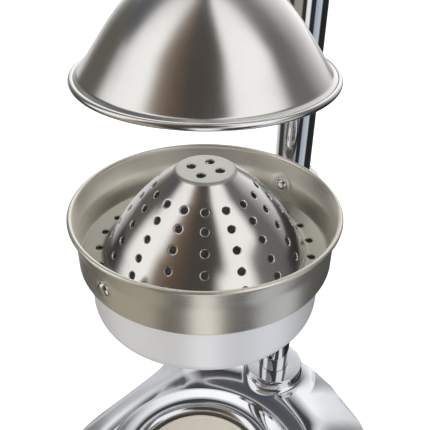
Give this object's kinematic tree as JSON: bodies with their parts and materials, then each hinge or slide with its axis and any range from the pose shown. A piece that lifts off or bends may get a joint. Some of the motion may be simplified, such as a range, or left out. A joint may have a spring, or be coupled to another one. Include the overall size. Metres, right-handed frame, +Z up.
{
  "type": "citrus press juicer",
  "caption": "Free-standing lever citrus press: cast base with glass pad, column, juice cup with perforated strainer cone, and a bell press cone moved by a rack, pinion and lever.",
  "frame": {"origin": "on the table, straight under the common axis of the strainer and press cone", "axes": "+Z up along the press axis, +Y from the press axis to the column, +X towards the lever's side"},
  "size_m": [0.2176, 0.2874, 0.6408],
  "materials": {
    "chrome_plate": "mirror chrome plate on cast iron",
    "column_chrome": "mirror chrome plate on steel tube",
    "glass_cream": "cream, gloss",
    "rubber_black": "matt",
    "cup_aluminium": "fine satin, clear coated",
    "head_aluminium": "polished casting",
    "brushed_basket": "brushed round, warm reflections",
    "polished_strainer": "polished, punched holes",
    "satin_cone": "satin brushed round",
    "machined_steel": "machined, lightly oiled",
    "fastener_steel": "zinc plated",
    "bush_bronze": "sintered bronze",
    "grip_black": "moulded, low gloss"
  },
  "bodies": {
    "frame": {"base_casting": "chrome_plate", "rubber_feet": "rubber_black", "foot_screws": "fastener_steel", "glass_pad": "glass_cream", "column_collar": "column_chrome", "column_tube": "column_chrome", "column_tie_rod": "fastener_steel", "tie_rod_washer": "fastener_steel", "tie_rod_nut": "fastener_steel", "column_cap_nut": "column_chrome", "cup_holder": "cup_aluminium", "holder_clamp_screws": "fastener_steel", "head_housing": "head_aluminium", "head_cover": "head_aluminium", "head_cover_screws": "fastener_steel", "head_set_screws": "fastener_steel", "rack_bush_lower": "bush_bronze", "rack_bush_upper": "bush_bronze", "shaft_bush_right": "bush_bronze", "shaft_bush_left": "bush_bronze"},
    "lever": {"pinion_gear": "machined_steel", "pinion_shaft": "machined_steel", "shaft_key": "machined_steel", "shaft_retaining_ring": "fastener_steel", "lever_hub": "column_chrome", "lever_arm": "column_chrome", "lever_grip": "grip_black", "lever_set_screw": "fastener_steel"},
    "press": {"press_cone": "satin_cone", "press_boss": "column_chrome", "press_nut": "fastener_steel", "rack_bar": "machined_steel", "rack_stop_collar": "column_chrome"},
    "basket": {"juice_basket": "brushed_basket", "basket_rivets": "polished_strainer"},
    "strainer": {"strainer_cone": "polished_strainer"}
  },
  "joints": [
    {"name": "lever_swing", "type": "hinge", "parent": "frame", "child": "lever", "pos_m": [0, 0.034, 0.445], "axis": [1, 0, 0], "range_deg": [0, 180]},
    {"name": "press_slide", "type": "slide", "parent": "frame", "child": "press", "axis": [0, 0, -1], "range_m": [0, 0.08797]},
    {"name": "basket_turn", "type": "hinge", "parent": "frame", "child": "basket", "pos_m": [0, 0, 0.228], "axis": [0, 0, 1], "continuous": true},
    {"name": "strainer_turn", "type": "hinge", "parent": "basket", "child": "strainer", "pos_m": [0, 0, 0.2303], "axis": [0, 0, 1], "continuous": true}
  ],
  "couplings": [
    {"joint": "press_slide", "follows": "lever_swing", "m_per_rad": 0.028}
  ]
}
